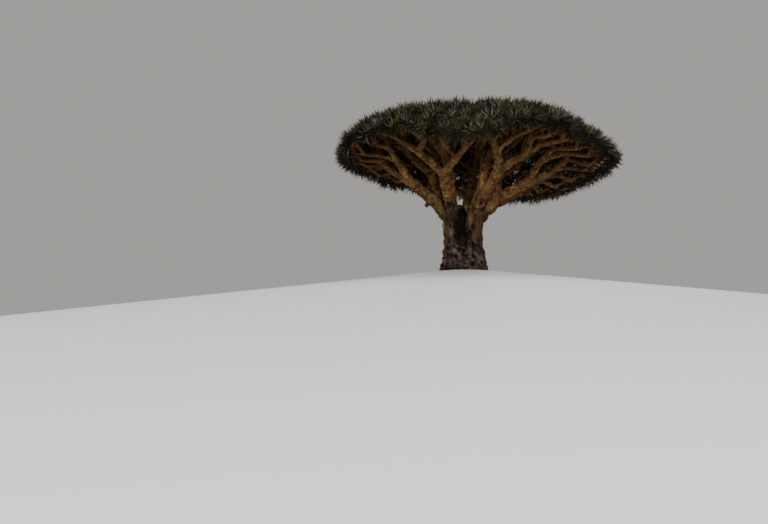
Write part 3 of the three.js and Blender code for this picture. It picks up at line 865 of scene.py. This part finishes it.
def trunk_colour(tree, place, patches, gold):
    """Brown with upright fissures below the golden limbs, whose gold reaches lower on the right side as
    painted light, pale grey on the gnarled foot, and nearly black with painted shade inside the hollow."""
    x, _, z = add(tree, "SeparateXYZ", {"Vector": place}).outputs
    upright = add(tree, "Mapping", {"Vector": place, "Scale": (1, 1, FISSURE_STRETCH)}).outputs["Vector"]
    fissure = {"Vector": upright, "Scale": 1 / BARK_FISSURE, "Detail": 5, "Roughness": 0.6}
    fissures = add(tree, "TexNoise", fissure).outputs["Fac"]
    brown = add(tree, "ValToRGB", {"Fac": fissures}, stops=TRUNK_TONES).outputs["Color"]
    coarse = add(tree, "TexNoise", {"Vector": place, "Scale": 1 / FOOT_GRAIN, "Detail": 6}).outputs["Fac"]
    grey = add(tree, "ValToRGB", {"Fac": coarse}, stops=FOOT_TONES).outputs["Color"]
    # painted light: the lighter gold reaches lower on the trunk's right side
    slanted = add(tree, "Math", {0: x, 1: PAINTED_LIGHT_SLANT, 2: z}, operation="MULTIPLY_ADD").outputs["Value"]
    rise = {"Value": slanted, "From Min": GOLD_START[0], "From Max": GOLD_START[1]}
    upper = add(tree, "MapRange", rise).outputs["Result"]
    colour = add(tree, "MixRGB", {"Fac": upper, "Color1": brown, "Color2": gold}).outputs["Color"]
    wavy = add(tree, "Math", {0: patches, 1: -GREY_WAVE, 2: z}, operation="MULTIPLY_ADD").outputs["Value"]
    fall = {"Value": wavy, "From Min": GREY_END[0], "From Max": GREY_END[1], **FALLING}
    lower = add(tree, "MapRange", fall).outputs["Result"]
    colour = add(tree, "MixRGB", {"Fac": lower, "Color1": colour, "Color2": grey}).outputs["Color"]
    # painted shade: the bark is coloured nearly black inside the hollow
    rotten = {"Fac": hollow_painted_shade(tree, place), "Color1": colour, "Color2": linear(HOLLOW_SHADE_TONE)}
    return add(tree, "MixRGB", rotten).outputs["Color"]


def crevice_dirt_and_painted_shade(tree, colour, crevice):
    """Old bark holds dirt where its relief goes down this deep, and there its colour is also darkened with
    painted shade.
    """
    height = add(tree, "Attribute", attribute_name=RELIEF).outputs["Fac"]
    fall = {"Value": height, "From Min": -crevice, "From Max": 0, **FALLING}
    deep = add(tree, "MapRange", fall).outputs["Result"]
    dark = {"Fac": deep, "Color1": colour, "Color2": linear(CREVICE_DIRT_AND_SHADE_TONE)}
    return add(tree, "MixRGB", dark).outputs["Color"]


def bark(name, tones, crevice=None, on_trunk=False):
    """Old corky bark, weathered by sun and rain: matt and blotched, with a rough grain and hardly a sheen."""
    material, tree = new_material(name)
    place = add(tree, "TexCoord").outputs["Object"]
    grain = {"Vector": place, "Scale": 1 / BARK_GRAIN, "Detail": 6, "Roughness": 0.65}
    fine = add(tree, "TexNoise", grain).outputs["Fac"]
    patches = add(tree, "TexNoise", {"Vector": place, "Scale": 1 / BARK_BLOTCH, "Detail": 3}).outputs["Fac"]
    colour = add(tree, "ValToRGB", {"Fac": fine}, stops=tones).outputs["Color"]
    blotch = add(tree, "ValToRGB", {"Fac": patches}, stops=BLOTCH_TONES).outputs["Color"]
    if on_trunk:
        colour = trunk_colour(tree, place, patches, colour)
    blotched = {"Fac": BLOTCH_STRENGTH, "Color1": colour, "Color2": blotch}
    colour = add(tree, "MixRGB", blotched, blend_type="MULTIPLY").outputs["Color"]
    # dirt and painted shade in the crevices of the relief
    if crevice:
        colour = crevice_dirt_and_painted_shade(tree, colour, crevice)
    relief = add(tree, "Bump", {"Height": fine, "Strength": 0.8, "Distance": BARK_BUMP}).outputs["Normal"]
    surface = {"Base Color": colour, "Normal": relief}
    sheen = {"Roughness": 0.92, "IOR": 1.4, "Specular IOR Level": 0.25}
    shader = add(tree, "BsdfPrincipled", surface | sheen).outputs["BSDF"]
    add(tree, "OutputMaterial", {"Surface": shader})
    return material


def hollow_painted_shade(tree, place):
    """How much painted shade darkens the bark: fully inside the hollow, and not at all outside it."""
    inside = trunk_radius(HOLLOW_MIDDLE) - HOLLOW_SHADE_DEPTH
    centre = Vector((inside * math.cos(HOLLOW_ANGLE), inside * math.sin(HOLLOW_ANGLE), HOLLOW_MIDDLE))
    reach = Vector((HOLLOW_SHADE_HALF_WIDTH, HOLLOW_SHADE_DEPTH, HOLLOW_HALF_HEIGHT + HOLLOW_SHADE_MARGIN))
    scale = Vector(1 / part for part in reach)
    egg = {"Vector": place, "Location": -centre * scale, "Scale": scale}
    inwards = add(tree, "Mapping", egg).outputs["Vector"]
    away = add(tree, "VectorMath", {0: inwards}, operation="LENGTH").outputs["Value"]
    fall = {"Value": away, "From Min": HOLLOW_SHADE_EDGE[0], "From Max": HOLLOW_SHADE_EDGE[1], **FALLING}
    return add(tree, "MapRange", fall).outputs["Result"]


def leaf_blade(name, colour, roughness):
    """A stiff leathery leaf. Its waxy bloom gives it a soft dull sheen, and a dried one has hardly any."""
    material, tree = new_material(f"leathery_{name}")
    surface = {"Base Color": linear(colour), "Roughness": roughness, "IOR": 1.45, "Specular IOR Level": 0.22}
    shader = add(tree, "BsdfPrincipled", surface).outputs["BSDF"]
    add(tree, "OutputMaterial", {"Surface": shader})
    return material


def studio_paint(name):
    """Matt white floor paint: pale, even and without gloss, so that nothing on it draws the eye."""
    material, tree = new_material(name)
    surface = {"Base Color": linear(FLOOR_TONE), "Roughness": 0.95}
    shader = add(tree, "BsdfPrincipled", surface).outputs["BSDF"]
    add(tree, "OutputMaterial", {"Surface": shader})
    return material


def dress(piece, slot, *nodes):
    """Ties a piece to the frame: the body it rides on and the solids that it stands for, which it hides. Its
    slot is not used.
    """
    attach(piece, "root")
    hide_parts(*nodes)


def make_leaves(strands, mass_names):
    """All rosettes: sprays of young and of old leaves, each dealt its own tone, and dry leaves."""
    rng = np.random.default_rng(SEED)
    tips, axes = rosette_places(strands)
    rolls = rng.uniform(0, math.tau, len(strands))
    young = Fan(YOUNG_LEAVES, SPRAYS, YOUNG_SPREAD, LEAF_LENGTH, LEAF_DROOP)
    old = Fan(OLD_LEAVES, SPRAYS, OLD_SPREAD, LEAF_LENGTH, LEAF_DROOP)
    dry = Fan(DRY_LEAVES, 1, DRY_SPREAD, DRY_LENGTH, DRY_DROOP)

    def leaves(name, colour, roughness, chosen_sprays):
        fans = [
            leaf_fans(tips[chosen], axes[chosen], rolls[chosen], fan, spray, rng)
            for fan, spray, chosen in chosen_sprays
        ]
        piece = mesh_object(name, mesh_from(name, *joined(fans)), leaf_blade(name, colour, roughness), False)
        dress(piece, "foliage", *mass_names)

    young_shares, old_shares = zip(*[shares for _, *shares in LEAF_TONES.values()])
    dealt = [
        (fan, spray, rng.choice(len(LEAF_TONES), len(strands), p=shares))
        for fan, shares in ((young, young_shares), (old, old_shares))
        for spray in range(SPRAYS)
    ]
    for tone, (name, (colour, _, _)) in enumerate(LEAF_TONES.items()):
        leaves(name, colour, LEAF_ROUGHNESS, [(fan, spray, tones == tone) for fan, spray, tones in dealt])
    russet = rng.uniform(size=len(strands)) < RUSSET_SHARE
    for (name, colour), chosen in zip(DRY_TONES.items(), (~russet, russet)):
        leaves(name, colour, DRY_ROUGHNESS, [(dry, 0, chosen)])


def make_floor():
    """A pale mound that is level under the trunk and falls away from it, as the hilltop does."""
    bm = bmesh.new()
    falls = [-FLOOR_GAP - FLOOR_SLOPE * (radius - FLOOR_RADII[0]) for radius in FLOOR_RADII]
    frames = [
        Matrix.Translation((0, 0, fall)) @ Matrix.Diagonal((radius, radius, 1, 1))
        for radius, fall in zip(FLOOR_RADII, falls)
    ]
    made = bmesh.ops.create_circle(bm, cap_ends=True, segments=FLOOR_SIDES, radius=1, matrix=frames[0])
    edges = list({edge for vert in made["verts"] for edge in vert.link_edges})
    for last, here in zip(frames, frames[1:]):
        geometry = bmesh.ops.extrude_edge_only(bm, edges=edges)["geom"]
        verts = [item for item in geometry if isinstance(item, bmesh.types.BMVert)]
        edges = [item for item in geometry if isinstance(item, bmesh.types.BMEdge)]
        bmesh.ops.transform(bm, matrix=here @ last.inverted(), verts=verts)
    mesh_object("floor", closed_mesh("floor", bm), studio_paint("matt_studio_floor"))


def make_light(name, place, aim, size, power):
    """A large soft light."""
    light = bpy.data.lights.new(name, "AREA")
    light.size = size
    light.energy = power
    lamp = new_object(name, light)
    lamp.location = place
    lamp.rotation_euler = (Vector(aim) - Vector(place)).to_track_quat("-Z", "Y").to_euler()


def make_sky():
    """An even pale sky, which brightens the shadows."""
    world = bpy.data.worlds.new("studio")
    world.use_nodes = True
    background = world.node_tree.nodes["Background"]
    background.inputs["Color"].default_value = linear(SKY_TONE)
    background.inputs["Strength"].default_value = SKY_STRENGTH
    bpy.context.scene.world = world


def make_camera():
    """The camera, at the photograph's viewing angle."""
    camera = bpy.data.cameras.new("camera")
    camera.sensor_width = SENSOR_WIDTH
    camera.lens = LENS
    viewer = new_object("camera", camera)
    viewer.location = CAMERA_PLACE
    viewer.rotation_euler = (math.radians(90 + CAMERA_RISE), 0, 0)
    bpy.context.scene.camera = viewer


def make_studio():
    """The floor, lights, sky and camera."""
    make_floor()
    for name, values in LIGHTS.items():
        make_light(name, *values)
    make_sky()
    make_camera()


def make_tree():
    """The whole tree."""
    trunk_bark = bark("old_trunk_bark", LIMB_TONES, TRUNK_CREVICE, on_trunk=True)
    limb_bark = bark("limb_bark", LIMB_TONES, LIMB_CREVICE)
    sectors = [sector_strands(sector) for sector in range(len(SECTOR_EDGES))]
    strands = [strand for sector in sectors for strand in sector]
    dress(trunk_skin(strands, trunk_bark), "trunk_bark", "trunk")
    for number, sector in enumerate(sectors):
        names = [f"bough_{number + 1}_{i + 1}" for i in range(BOUGHS_PER_SECTOR)]
        dress(bough_skin(number, sector, limb_bark), "limb_bark", *names)
    mass_names = [name for name in frame["nodes"] if name.startswith("crown_mass")]
    twigs = mesh_from("twigs", *twig_tubes(strands, TWIG_START, LEAF_BASE_START))
    dress(mesh_object("twigs", twigs, bark("twig_bark", TWIG_TONES)), "limb_bark", *mass_names)
    bases = mesh_from("leaf_bases", *twig_tubes(strands, LEAF_BASE_START, len(FORK_SHARES), LEAF_BASE_SWELL))
    dress(mesh_object("leaf_bases", bases, bark("old_leaf_bases", LEAF_BASE_TONES)), "foliage", *mass_names)
    make_leaves(strands, mass_names)


make_tree()
make_studio()
